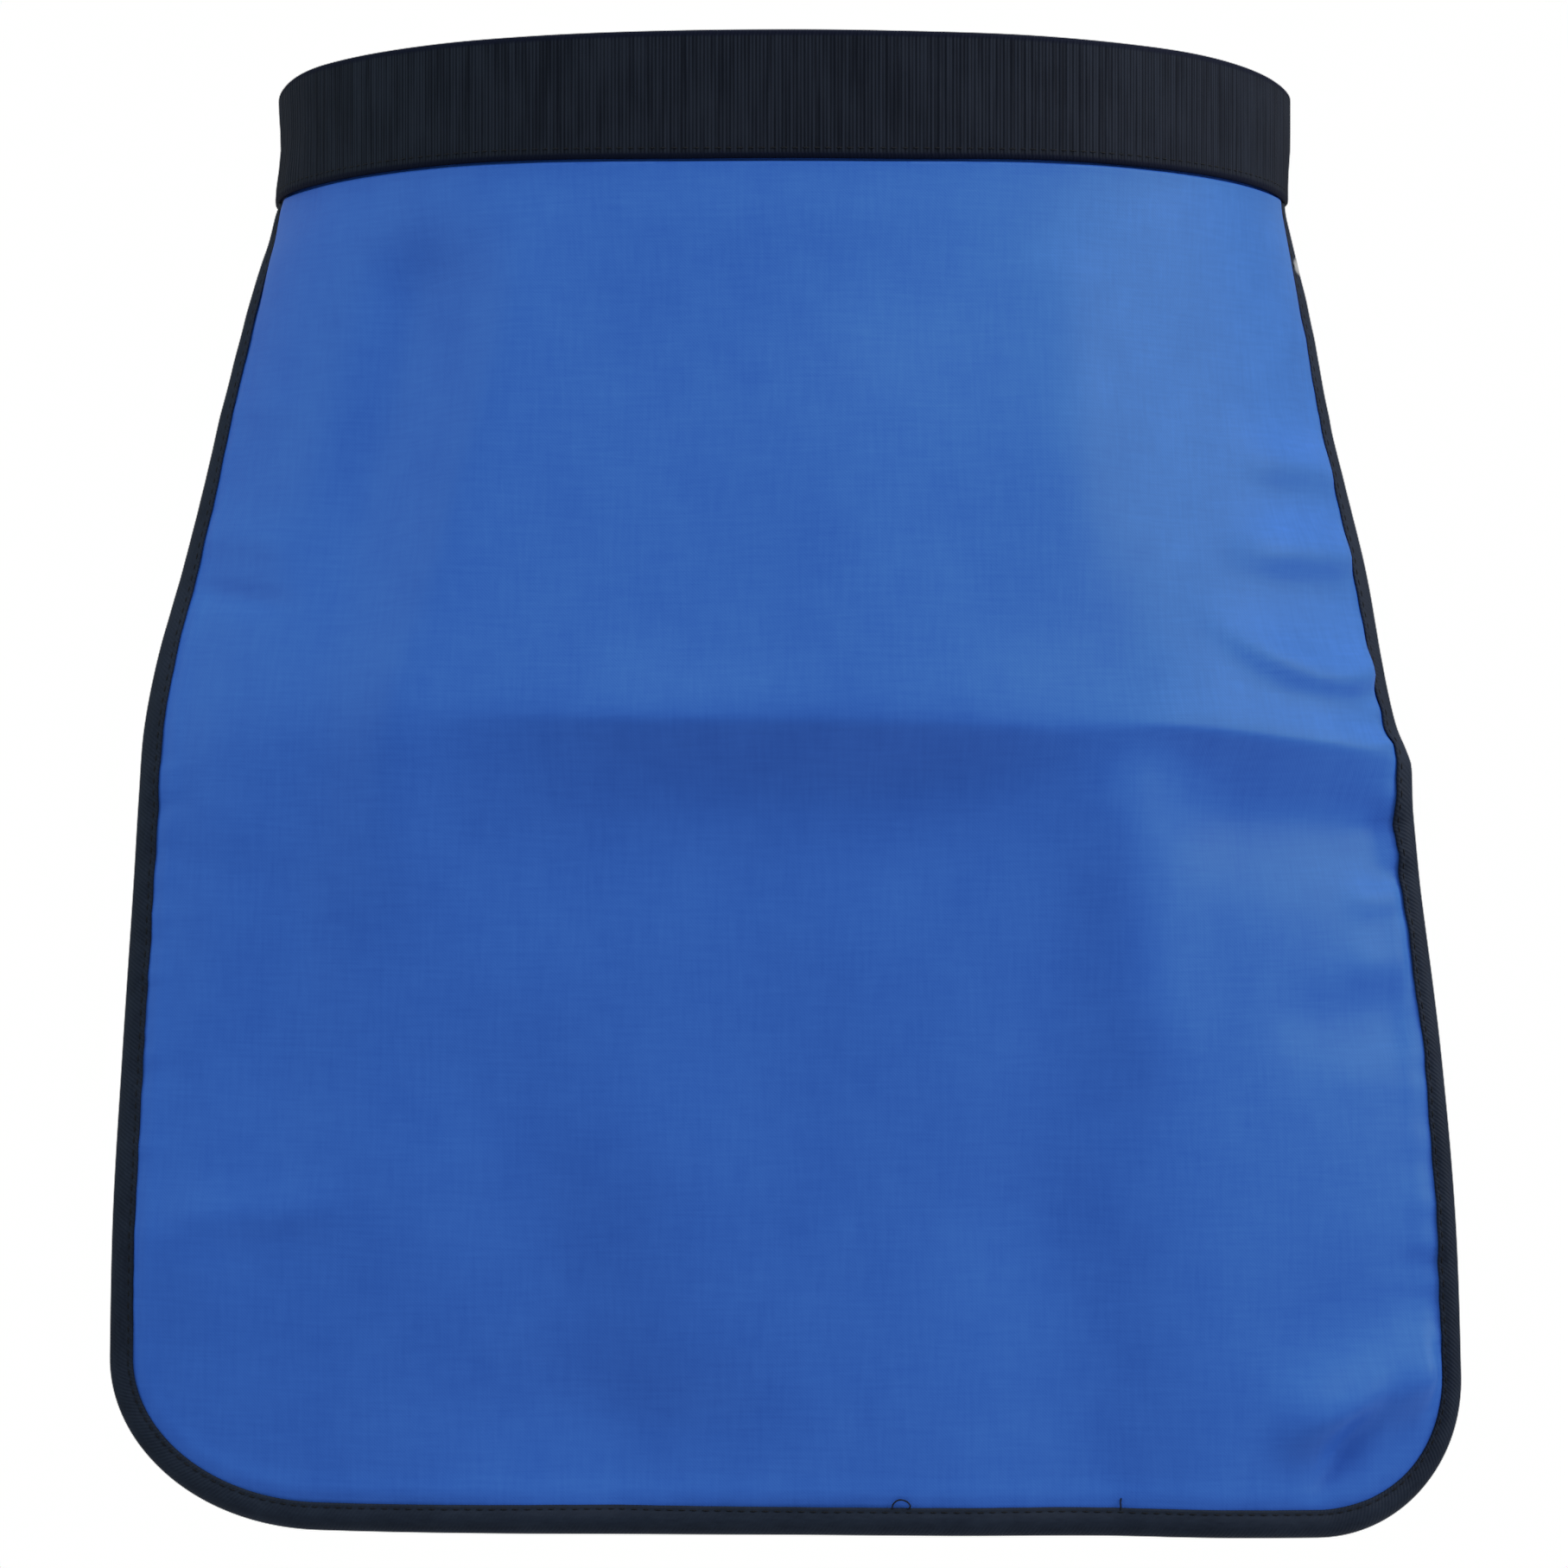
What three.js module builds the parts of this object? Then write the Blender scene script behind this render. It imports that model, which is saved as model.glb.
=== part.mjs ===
// X-ray half apron: a lead-rubber panel in blue coated nylon with a folded
// binding round its sides and hem, hung from a wide elastic waistband.
// Millimetres, +Z up; the wearer faces -Y and the origin is the waist centre.
import * as THREE from 'three';
import { mergeVertices } from 'three/addons/utils/BufferGeometryUtils.js';

// Waist: the cloth's front face follows a rounded oval, a quarter at a time.
const WAIST_QUARTER = 233;
const WAIST_BEND = 1.5;

// Elastic waistband, closed by a lapped joint at the middle of the back.
const BAND_HEIGHT = 40;
const BAND_THICK = 2;
const BAND_EASE = 0.4;
const LAP_HALF = 38;
const LAP_RAMP = 45;
const BAND_STEP = 8.5;
const PATCH_LENGTH = 62;
const PATCH_HEIGHT = 34;
const PATCH_THICK = 2;

// Panel and its binding.
const GAP = 0.3;
const PANEL_WIDTH = 420;
const PANEL_THICK = 3;
const PANEL_TOP = 6;
const HEM = 440;
const HEM_DROOP = 4.2;
const CORNER_LEFT = { across: 68, drop: 49 };
const CORNER_RIGHT = { across: 47, drop: 47 };
const TAPE_WIDTH = 7.5;
const TAPE_THICK = 1;
const TAPE_TOP = BAND_HEIGHT / 2 + GAP;
const COLUMNS_PER_HALF = 19;

// Level sections of the panel. Each one runs both ways from the front line,
// turning backwards by the stated degrees at its edges, and lead is how far
// the front line stands forward of the waist.
const SECTIONS = [
  { drop: 0, lead: 0, turnLeft: 77, turnRight: 77, bend: 1.5 },
  { drop: 22, lead: 0, turnLeft: 77, turnRight: 77, bend: 1.5 },
  { drop: 40, lead: 3, turnLeft: 71.5, turnRight: 74, bend: 1.5 },
  { drop: 65, lead: 7, turnLeft: 65, turnRight: 69, bend: 1.5 },
  { drop: 92, lead: 12, turnLeft: 59, turnRight: 65, bend: 1.5 },
  { drop: 120, lead: 18, turnLeft: 53, turnRight: 59, bend: 1.45 },
  { drop: 148, lead: 24, turnLeft: 46, turnRight: 53, bend: 1.4 },
  { drop: 175, lead: 29, turnLeft: 38.5, turnRight: 50, bend: 1.4 },
  { drop: 197, lead: 32, turnLeft: 34, turnRight: 47, bend: 1.4 },
  { drop: 217, lead: 32, turnLeft: 33, turnRight: 41, bend: 1.5 },
  { drop: 250, lead: 31.5, turnLeft: 31, turnRight: 37, bend: 1.6 },
  { drop: 300, lead: 31, turnLeft: 26.5, turnRight: 28.5, bend: 1.7 },
  { drop: 350, lead: 31, turnLeft: 22, turnRight: 21.5, bend: 1.8 },
  { drop: 400, lead: 32, turnLeft: 21, turnRight: 19, bend: 1.9 },
  { drop: 442, lead: 33, turnLeft: 21, turnRight: 18.5, bend: 2 },
];

// Soft folds: the crease across the hips, the long ridges and valleys that
// fall from the band, and the puffs at the right edge. Each is centred at a
// flat place, heads off the vertical by some degrees towards the right edge
// as it falls, and has a spread to its right or upper side that skew scales
// on the other side.
const FOLDS = [
  { across: -2, drop: 195.5, heading: 88.5, length: 232, spread: 19, height: 6, skew: 0.5 },
  { across: 158, drop: 202, heading: 85.5, length: 102, spread: 35, height: 8, skew: 0.37 },
  { across: 88, drop: 103, heading: 3, length: 116, spread: 22, height: 5, skew: 1.2 },
  { across: 107, drop: 249, heading: 3, length: 108, spread: 18, height: 7, skew: 1.05 },
  { across: 89, drop: 299, heading: -20, length: 130, spread: 22, height: -6.2, skew: 1 },
  { across: -98, drop: 123, heading: -15, length: 180, spread: 17, height: 4.4, skew: 0.8 },
  { across: -127, drop: 86, heading: -13, length: 170, spread: 19, height: -5, skew: 1 },
  { across: -107, drop: 211, heading: 3, length: 78, spread: 20, height: 4, skew: 0.7 },
  { across: -66, drop: 371, heading: 14, length: 140, spread: 22, height: -4.8, skew: 1.3 },
  { across: -55, drop: 409, heading: 84, length: 100, spread: 21, height: -3.4, skew: 1.5 },
  { across: 90, drop: 402, heading: 9, length: 134, spread: 25, height: -5.4, skew: 1.3 },
  { across: -22, drop: 224, heading: 96, length: 170, spread: 20, height: -4.5, skew: 1.5 },
  { across: 172, drop: 140, heading: 88, length: 62, spread: 14, height: 2.6, skew: 0.9 },
  { across: 168, drop: 178, heading: 81, length: 70, spread: 15, height: 3, skew: 0.9 },
];

const rad = THREE.MathUtils.degToRad;
const smooth = THREE.MathUtils.smoothstep;

// Value of one section column at a drop, by a smooth curve through the rows.
function section(column, drop) {
  const last = SECTIONS.length - 2;
  let k = SECTIONS.findIndex((row) => row.drop > drop) - 1;
  k = k < 0 ? (drop <= 0 ? 0 : last) : k;
  const rows = [Math.max(k - 1, 0), k, k + 1, Math.min(k + 2, last + 1)].map((i) => SECTIONS[i]);
  const [p0, p1, p2, p3] = rows.map((row) => row[column]);
  const [d0, d1, d2, d3] = rows.map((row) => row.drop);
  const span = d2 - d1;
  const t = (drop - d1) / span;
  const m1 = ((p2 - p0) / (d2 - d0)) * span;
  const m2 = ((p3 - p1) / (d3 - d1)) * span;
  const t2 = t * t;
  const t3 = t2 * t;
  return (2 * t3 - 3 * t2 + 1) * p1 + (t3 - 2 * t2 + t) * m1 + (3 * t2 - 2 * t3) * p2 + (t3 - t2) * m2;
}

// Run and set-back of a curve that turns by turn * share^bend along its length.
function bow(turn, bend, share, length) {
  const steps = 48;
  let run = 0;
  let back = 0;
  for (let i = 0; i < steps; i += 1) {
    const angle = turn * ((share * (i + 0.5)) / steps) ** bend;
    run += Math.cos(angle);
    back += Math.sin(angle);
  }
  const step = (share * length) / steps;
  return [run * step, back * step];
}

// How far the folds lift the cloth at a flat place.
function lift(across, drop) {
  let sum = 0;
  for (const fold of FOLDS) {
    const c = Math.cos(rad(fold.heading));
    const s = Math.sin(rad(fold.heading));
    const da = across - fold.across;
    const dd = drop - fold.drop;
    const along = (da * s + dd * c) / (fold.length / 2);
    const aside = dd * s - da * c;
    const spread = aside < 0 ? fold.spread : fold.spread * fold.skew;
    sum += fold.height * Math.exp(-((aside / spread) ** 2) - along ** 4);
  }
  return sum * smooth(drop, 24, 60);
}

const WAIST_DEPTH = bow(Math.PI / 2, WAIST_BEND, 1, WAIST_QUARTER)[1];

// Front face of the panel before the folds.
function drape(across, drop) {
  const share = across / (PANEL_WIDTH / 2);
  const turn = rad(section(share < 0 ? 'turnLeft' : 'turnRight', drop));
  const [run, back] = bow(turn, section('bend', drop), Math.abs(share), PANEL_WIDTH / 2);
  const sag = HEM_DROOP * Math.max(share, 0) ** 1.5 * smooth(drop, 220, HEM);
  return new THREE.Vector3(Math.sign(share) * run, back - WAIST_DEPTH - section('lead', drop), -drop - sag);
}

// A point of the cloth, standing off its front face by out.
function cloth(across, drop, out) {
  const h = 0.5;
  const folded = (a, d, normal) => drape(a, d).addScaledVector(normal, lift(a, d));
  const cross = (a, b, c, d) => b.sub(a).cross(d.sub(c)).normalize();
  const flat = cross(
    drape(across - h, drop), drape(across + h, drop),
    drape(across, drop + h), drape(across, drop - h));
  const normal = cross(
    folded(across - h, drop, flat), folded(across + h, drop, flat),
    folded(across, drop + h, flat), folded(across, drop - h, flat));
  return folded(across, drop, flat).addScaledVector(normal, out);
}

// Side edge of the panel at a drop: its flat place, rounded off at the hem
// corner, and the flat direction from it towards the inside.
function sideEdge(side, drop) {
  const corner = side < 0 ? CORNER_LEFT : CORNER_RIGHT;
  const past = Math.max((drop - HEM) / corner.drop + 1, 0);
  const share = Math.sqrt(Math.max(1 - past ** 2, 0));
  const across = side * (PANEL_WIDTH / 2 - corner.across * (1 - share));
  const inside = new THREE.Vector2((-side * share) / corner.across, -past / corner.drop).normalize();
  return { across, drop, inside };
}

function evenly(from, to, count) {
  return Array.from({ length: count }, (_, i) => from + ((to - from) * i) / count);
}

// Drops of the panel's rows: close together at the crease and round the corners.
const ROWS = [
  PANEL_TOP,
  ...evenly(TAPE_TOP, 178, 14),
  ...evenly(178, 220, 9),
  ...evenly(220, HEM - CORNER_LEFT.drop, 12),
  ...evenly(0, 90, 9).map((a) => HEM - CORNER_LEFT.drop * (1 - Math.sin(rad(a)))),
  HEM,
];
const COLUMNS = evenly(-COLUMNS_PER_HALF, COLUMNS_PER_HALF + 1, 2 * COLUMNS_PER_HALF + 1)
  .map((i) => i / COLUMNS_PER_HALF);

// Closed solid from rings of points: the rings are joined in order, and the
// first and last are closed by caps; each ring runs the same way round, and
// rising picks the way the faces between two rings are split.
function loft(rings, capFaces, rising = false) {
  const size = rings[0].length;
  const points = rings.flat();
  const index = [];
  for (let i = 0; i + 1 < rings.length; i += 1) {
    for (let j = 0; j < size; j += 1) {
      const a = i * size + j;
      const b = i * size + ((j + 1) % size);
      const [c, d] = rising ? [b, a + size] : [a, b + size];
      index.push(a, b, d, c, b + size, a + size);
    }
  }
  const end = (rings.length - 1) * size;
  for (const [a, b, c] of capFaces) {
    index.push(a, c, b, end + a, end + b, end + c);
  }
  return solid(points, index);
}

function solid(points, index) {
  const geometry = new THREE.BufferGeometry();
  geometry.setAttribute('position', new THREE.Float32BufferAttribute(points.flatMap((p) => [p.x, p.y, p.z]), 3));
  geometry.setIndex(index);
  const welded = mergeVertices(geometry, 1e-4);
  welded.computeVertexNormals();
  return welded;
}

// The panel is lofted down its rows; each ring goes along the back and returns along the front.
function panelGeometry() {
  const rings = ROWS.map((drop) => {
    const places = COLUMNS.map((t) => Math.abs(t) * sideEdge(Math.sign(t), drop).across);
    const front = places.map((a) => cloth(a, drop, 0));
    const back = places.map((a) => cloth(a, drop, -PANEL_THICK));
    return [...back, ...front.reverse()];
  });
  const count = COLUMNS.length;
  const caps = evenly(0, count - 1, count - 1).flatMap((i) => {
    const k = 2 * count - 1 - i;
    return [[i, i + 1, k], [i + 1, k - 1, k]];
  });
  return loft(rings, caps, true);
}

// Flat places along the bound edge, down the left side, along the hem and up
// the right side, each with its direction towards the inside of the panel.
function boundEdge() {
  const drops = ROWS.filter((drop) => drop >= TAPE_TOP);
  const down = drops.map((drop) => sideEdge(-1, drop));
  const hem = COLUMNS.slice(1, -1).map((t) => {
    const end = sideEdge(Math.sign(t), HEM);
    return { ...end, across: Math.abs(t) * end.across };
  });
  const up = drops.map((drop) => sideEdge(1, drop)).reverse();
  return [...down, ...hem, ...up];
}

// The tape folds round the edge: its section is given as distance in from the
// edge and height off the panel's front face.
function tapeGeometry() {
  const top = GAP + TAPE_THICK;
  const under = -PANEL_THICK - GAP;
  const rim = -GAP - TAPE_THICK;
  const profile = [
    [TAPE_WIDTH, GAP], [TAPE_WIDTH, top], [rim + 0.7, top], [rim, top - 0.7],
    [rim, under - 0.3], [rim + 0.7, under - TAPE_THICK], [TAPE_WIDTH, under - TAPE_THICK],
    [TAPE_WIDTH, under], [-GAP, under], [-GAP, GAP],
  ];
  const rings = boundEdge().map(({ across, drop, inside }) =>
    profile.map(([inset, out]) => cloth(across + inside.x * inset, drop + inside.y * inset, out)));
  const caps = [[0, 1, 2], [0, 2, 9], [9, 2, 3], [9, 3, 4], [9, 4, 8], [8, 4, 5], [8, 5, 6], [8, 6, 7]];
  return loft(rings, caps);
}

// A point of the waist oval, by the way round from its front, standing off by out.
function waist(way, out, z) {
  const lap = 4 * WAIST_QUARTER;
  const round = way - lap * Math.round(way / lap);
  const behind = Math.abs(round) > WAIST_QUARTER;
  const quarter = behind ? lap / 2 - Math.abs(round) : Math.abs(round);
  const share = quarter / WAIST_QUARTER;
  const [run, back] = bow(Math.PI / 2, WAIST_BEND, share, WAIST_QUARTER);
  const angle = (Math.PI / 2) * share ** WAIST_BEND;
  const side = round < 0 ? -1 : 1;
  const x = side * (run + out * Math.sin(angle));
  const y = back - WAIST_DEPTH - out * Math.cos(angle);
  return new THREE.Vector3(x, behind ? -y : y, z);
}

// A strip round the waist between two ways, with its own standing-off.
function strip(from, to, step, height, thick, standing) {
  const count = Math.ceil((to - from) / step);
  const h = height / 2;
  const e = Math.min(BAND_EASE, thick / 4);
  const profile = [
    [0, -h + e], [0, h - e], [e, h], [thick - e, h], [thick, h - e], [thick, -h + e], [thick - e, -h], [e, -h],
  ];
  const rings = [...evenly(from, to, count), to].map((way) =>
    profile.map(([out, z]) => waist(way, standing(way) + out, z)));
  return loft(rings, [[0, 1, 2], [0, 2, 3], [0, 3, 4], [0, 4, 5], [0, 5, 6], [0, 6, 7]]);
}

const HALF_LOOP = 2 * WAIST_QUARTER;
const LAP_RISE = BAND_THICK + PATCH_THICK + 2 * GAP;

function bandGeometry() {
  const rise = (way) => GAP + LAP_RISE * smooth(way, HALF_LOOP - LAP_HALF - LAP_RAMP, HALF_LOOP - LAP_HALF);
  return strip(-HALF_LOOP - LAP_HALF, HALF_LOOP + LAP_HALF, BAND_STEP, BAND_HEIGHT, BAND_THICK, rise);
}

function patchGeometry() {
  const standing = () => BAND_THICK + 2 * GAP;
  const half = PATCH_LENGTH / 2;
  return strip(HALF_LOOP - half, HALF_LOOP + half, BAND_STEP, PATCH_HEIGHT, PATCH_THICK, standing);
}

function piece(name, geometry, color, roughness) {
  const mesh = new THREE.Mesh(geometry, new THREE.MeshStandardMaterial({ color, roughness, metalness: 0 }));
  mesh.name = name;
  return mesh;
}

const apron = new THREE.Group();
apron.name = 'xray_half_apron';
apron.add(
  piece('apron_panel', panelGeometry(), 0x3361af, 0.55),
  piece('edge_binding', tapeGeometry(), 0x232630, 0.7),
  piece('waistband', bandGeometry(), 0x1e222b, 0.85),
  piece('closure_patch', patchGeometry(), 0x191b20, 0.95),
);

export default apron;
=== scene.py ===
import math
import random

import bmesh
import bpy
import numpy as np
from mathutils import Matrix, Vector, noise


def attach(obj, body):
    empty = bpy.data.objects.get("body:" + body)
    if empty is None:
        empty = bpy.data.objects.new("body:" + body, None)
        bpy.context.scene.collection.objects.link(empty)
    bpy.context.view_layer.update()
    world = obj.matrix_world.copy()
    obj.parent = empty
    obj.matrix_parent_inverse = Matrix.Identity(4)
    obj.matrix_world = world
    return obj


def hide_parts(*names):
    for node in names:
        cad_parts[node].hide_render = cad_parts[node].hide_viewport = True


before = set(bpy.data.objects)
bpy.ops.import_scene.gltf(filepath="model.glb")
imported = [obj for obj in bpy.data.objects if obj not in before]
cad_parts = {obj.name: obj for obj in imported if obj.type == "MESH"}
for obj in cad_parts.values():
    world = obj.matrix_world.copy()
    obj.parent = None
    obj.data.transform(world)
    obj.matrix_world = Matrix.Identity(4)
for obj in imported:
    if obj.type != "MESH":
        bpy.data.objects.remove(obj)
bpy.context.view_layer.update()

# The apron's own sizes, in millimetres, as the solids have them.
MM = 0.001
GAP = 0.3
WAIST_QUARTER = 233.0
WAIST_BEND = 1.5
BAND_HEIGHT = 40.0
BAND_THICK = 2.0
LAP_HALF = 38.0
LAP_RAMP = 45.0
PATCH_LENGTH = 62.0
PATCH_HEIGHT = 34.0
PATCH_THICK = 2.0
PANEL_WIDTH = 420.0
PANEL_THICK = 3.0
PANEL_TOP = 6.0
HEM = 440.0
HEM_DROOP = 4.2
CORNER_LEFT = (68.0, 49.0)
CORNER_RIGHT = (47.0, 47.0)
TAPE_WIDTH = 7.5
HALF_LOOP = 2 * WAIST_QUARTER
LAP_RISE = BAND_THICK + PATCH_THICK + 2 * GAP

# The elastic as it is worn: how far its lower edge draws up at the middle and
# further out, how its two sides stand off the oval, and how its upper edge dips.
BAND_DRAW_MIDDLE = 0.2
BAND_DRAW = 1.6
LEFT_END = (165, 204)
LEFT_OUT_LOW = 1.4
LEFT_OUT_HIGH = 0.3
LEFT_IN_MIDDLE = 0.4
RIGHT_OUT_HIGH = 0.7
RIGHT_IN_LOW = 1.4
LEFT_DIP = 2.0
RIGHT_DIP = 1.6
BAND_ROUND = 0.55
BAND_EDGE_WAVE = 0.25
RIB_COUNT = 438
RIB_PITCH = (4 * WAIST_QUARTER + 2 * LAP_HALF) / RIB_COUNT
RIB_STEPS = 4
RIB_DEPTH = 0.1
RIB_SEED = 5

# The panel's cloth: how its sides flare and stand out under the elastic and ease
# out below, how far it is tucked into the tape, and its relief beside the seams.
TOP_FLARE = 0.033
LEFT_STAND = 2.1
SIDE_EASE = 0.004
EDGE_TUCK = 0.8
SEAM_DITCH = 0.35
SEAM_SWELL = 0.45
BAND_PUFF = 1.9
SLOW_WAVE = 0.55
QUICK_WAVE = 0.12
PUCKER_SEED = 7

# Points of the panel's grid: columns, rows down to each drop, closest where the
# cloth is sewn on and at the cross fold, and rows down the rounded corners.
PANEL_COLUMNS = 190
PANEL_ROWS = [(16, 4), (26, 20), (186, 66), (226, 36), (HEM - CORNER_LEFT[1], 68)]
CORNER_ROWS = 26

# The tape's upper ends and the step along it; the edges of the closure's patch;
# the stitches and bits of thread.
TAPE_TOP = BAND_HEIGHT / 2 + GAP - BAND_DRAW
TAPE_STEP = 1.4
PATCH_ROUND = 0.4
PATCH_SLIT = 0.15
PATCH_SEAM = 0.35
PATCH_FUZZ = 0.3
STITCH_HALF = 1.25
STITCH_RADIUS = 0.21
STITCH_SINK = 0.22
TAPE_PITCH = 3.6
BAND_PITCH = 3.4
BAND_SEWN = (204.0, 3.2)
THREAD_RADIUS = 0.24
THREAD_SIDES = 8

# Level sections of the hanging panel: drop below the waist, lead of the front
# line, degrees turned back at the left and right edge, and how late they turn.
SECTION_COLUMNS = ("drop", "lead", "turn_left", "turn_right", "bend")
SECTIONS = np.array([
    (0, 0, 77, 77, 1.5),
    (22, 0, 77, 77, 1.5),
    (40, 3, 71.5, 74, 1.5),
    (65, 7, 65, 69, 1.5),
    (92, 12, 59, 65, 1.5),
    (120, 18, 53, 59, 1.45),
    (148, 24, 46, 53, 1.4),
    (175, 29, 38.5, 50, 1.4),
    (197, 32, 34, 47, 1.4),
    (217, 32, 33, 41, 1.5),
    (250, 31.5, 31, 37, 1.6),
    (300, 31, 26.5, 28.5, 1.7),
    (350, 31, 22, 21.5, 1.8),
    (400, 32, 21, 19, 1.9),
    (442, 33, 21, 18.5, 2),
])

# Main folds: flat place, heading off the vertical, length, spread to the right
# or upper side, height, the share of that spread on the other side, how crisp
# the crest is, from 2 for a round one to 1 for an edge, and how far the fold's
# line bows at its ends.
FOLDS = [
    (13, 195.5, 88.5, 200, 19, 6, 0.5, 1.45, 0),
    (160, 203.3, 83.2, 108, 27, 10, 0.29, 1.36, 0),
    (88, 103, 3, 116, 22, 5, 1.2, 2, 0),
    (107, 249, 3, 108, 18, 7, 1.05, 2, 0),
    (89, 299, -20, 130, 22, -6.2, 1, 2, 0),
    (-98, 123, -15, 180, 17, 4.4, 0.8, 2, 0),
    (-127, 86, -13, 170, 19, -5, 1, 2, 0),
    (-123, 211, 3, 78, 14, 2.4, 2, 2, 0),
    (-66, 371, 14, 140, 22, -4.8, 1.3, 2, 0),
    (-55, 409, 84, 100, 21, -3.4, 1.5, 2, 0),
    (90, 402, 9, 134, 25, -6.4, 1.3, 2, 0),
]

# Finer folds, with the same columns.
PUCKERS = [
    (175, 142, 90, 56, 11, 4.2, 0.6, 1.8, 0),
    (178, 113, 88, 50, 10, 2.9, 0.65, 1.9, 0),
    (176, 182.5, 85.5, 72, 14, 5, 0.38, 1.35, -9.5),
    (-151, 257, -10, 150, 20, -3, 1.3, 2, -0.7),
    (-161, 345.5, 94, 53, 8.2, 1.7, 0.85, 1.7, -1),
    (-186, 136.5, 83, 46, 8.7, 1.4, 0.55, 1.5, 0.5),
    (-183, 154, 83, 40, 3.6, -2, 1.2, 1.7, 0),
    (198.5, 250.5, 87, 34, 5.9, 2.1, 0.8, 2, 0.5),
    (196, 270.5, 87, 34, 7.5, 1.7, 0.85, 2, 0.5),
    (179.5, 285, 92, 52, 11, -2.6, 1.25, 2, 1.8),
    (184.5, 304.5, 89, 40, 7.7, 0.6, 0.8, 2, 0.1),
    (-12, 224, 95, 160, 20, -4.5, 1.5, 2, 2.5),
    (166, 226, 87, 90, 15, -5.8, 1.2, 2, 0),
    (27, 140, 0, 130, 80, 7, 0.45, 2, 0),
    (9, 243, 16, 83, 21.5, 1, 0.75, 2, -0.4),
    (181, 398.5, 112, 58, 11.5, 9.5, 0.75, 1.9, 0),
    (178.5, 406, -38, 38, 5, -3.8, 1.1, 1.7, 0),
    (169, 417, -32, 28, 3, -1.6, 1.2, 1.7, 0),
    (182, 375, 97, 68, 19, -1.8, 1, 2, 1.4),
    (-75, 332, 96, 125, 28, 3.4, 1.5, 2, 1.5),
    (-192, 360, 80, 42, 16, 1.8, 1, 2, -1),
    (-130, 96, -13, 110, 15, -1.2, 1, 2, 0),
    (114, 74, 0, 75, 12.3, 0.7, 0.95, 2, 0.6),
    (-55, 331, 6, 81, 15, -0.6, 0.95, 2, 0),
    (-185, 93.5, 86, 41, 7, 0.6, 0.6, 1.6, 0),
    (-175, 241, 83, 50, 7.6, -0.6, 1, 2, 0),
]
CREST_ROUND = 0.12


def smoothstep(x, low, high):
    t = np.clip((x - low) / (high - low), 0.0, 1.0)
    return t * t * (3 - 2 * t)


def hermite(t, start, leaving, end, arriving):
    """A smooth curve between two values with these slopes, at a share t of the span."""
    t2, t3 = t * t, t * t * t
    return ((2 * t3 - 3 * t2 + 1) * start + (t3 - 2 * t2 + t) * leaving
            + (3 * t2 - 2 * t3) * end + (t3 - t2) * arriving)


def section(column, drop):
    """One column of the sections at these drops, by a smooth curve through the rows."""
    drops = SECTIONS[:, 0]
    values = SECTIONS[:, SECTION_COLUMNS.index(column)]
    last = len(drops) - 1
    k = np.clip(np.searchsorted(drops, drop, side="right") - 1, 0, last - 1)
    before, after = np.maximum(k - 1, 0), np.minimum(k + 2, last)
    span = drops[k + 1] - drops[k]
    t = (drop - drops[k]) / span
    m1 = (values[k + 1] - values[before]) / (drops[k + 1] - drops[before]) * span
    m2 = (values[after] - values[k]) / (drops[after] - drops[k]) * span
    return hermite(t, values[k], m1, values[k + 1], m2)


def bow(turn, bend, share, length):
    """Run and set-back of a curve that turns by turn * share^bend along its length."""
    steps = 48
    run = back = 0.0
    for i in range(steps):
        angle = turn * (share * (i + 0.5) / steps) ** bend
        run = run + np.cos(angle)
        back = back + np.sin(angle)
    step = share * length / steps
    return run * step, back * step


WAIST_DEPTH = bow(math.pi / 2, WAIST_BEND, 1.0, WAIST_QUARTER)[1]


def fold_height(rows, across, drop):
    """How far the folds in these rows lift the cloth."""
    total = np.zeros_like(across)
    for fold_across, fold_drop, heading, length, spread, height, skew, crisp, bowed in rows:
        c, s = math.cos(math.radians(heading)), math.sin(math.radians(heading))
        da, dd = across - fold_across, drop - fold_drop
        along = (da * s + dd * c) / (length / 2)
        aside = dd * s - da * c - bowed * along ** 2
        reach = aside / np.where(aside < 0, spread, spread * skew)
        fall = (reach ** 2 + CREST_ROUND ** 2) ** (crisp / 2) - CREST_ROUND ** crisp
        total += height * np.exp(-fall - along ** 4)
    return total * smoothstep(drop, 24, 60)


def edge_distance(across, drop):
    """Flat distance in from the panel's sides, hem and rounded corners."""
    half = PANEL_WIDTH / 2
    wide = np.where(across < 0, CORNER_LEFT[0], CORNER_RIGHT[0])
    deep = np.where(across < 0, CORNER_LEFT[1], CORNER_RIGHT[1])
    px = (np.abs(across) - half + wide) / wide
    py = (drop - HEM + deep) / deep
    radius = np.maximum(np.hypot(np.maximum(px, 0), np.maximum(py, 0)), 1e-6)
    slope = np.hypot(np.maximum(px, 0) / wide, np.maximum(py, 0) / deep) / radius
    round_off = (1 - radius) / np.maximum(slope, 1e-6)
    straight = np.minimum(half - np.abs(across), HEM - drop)
    return np.where((px > 0) & (py > 0), round_off, straight)


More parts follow.
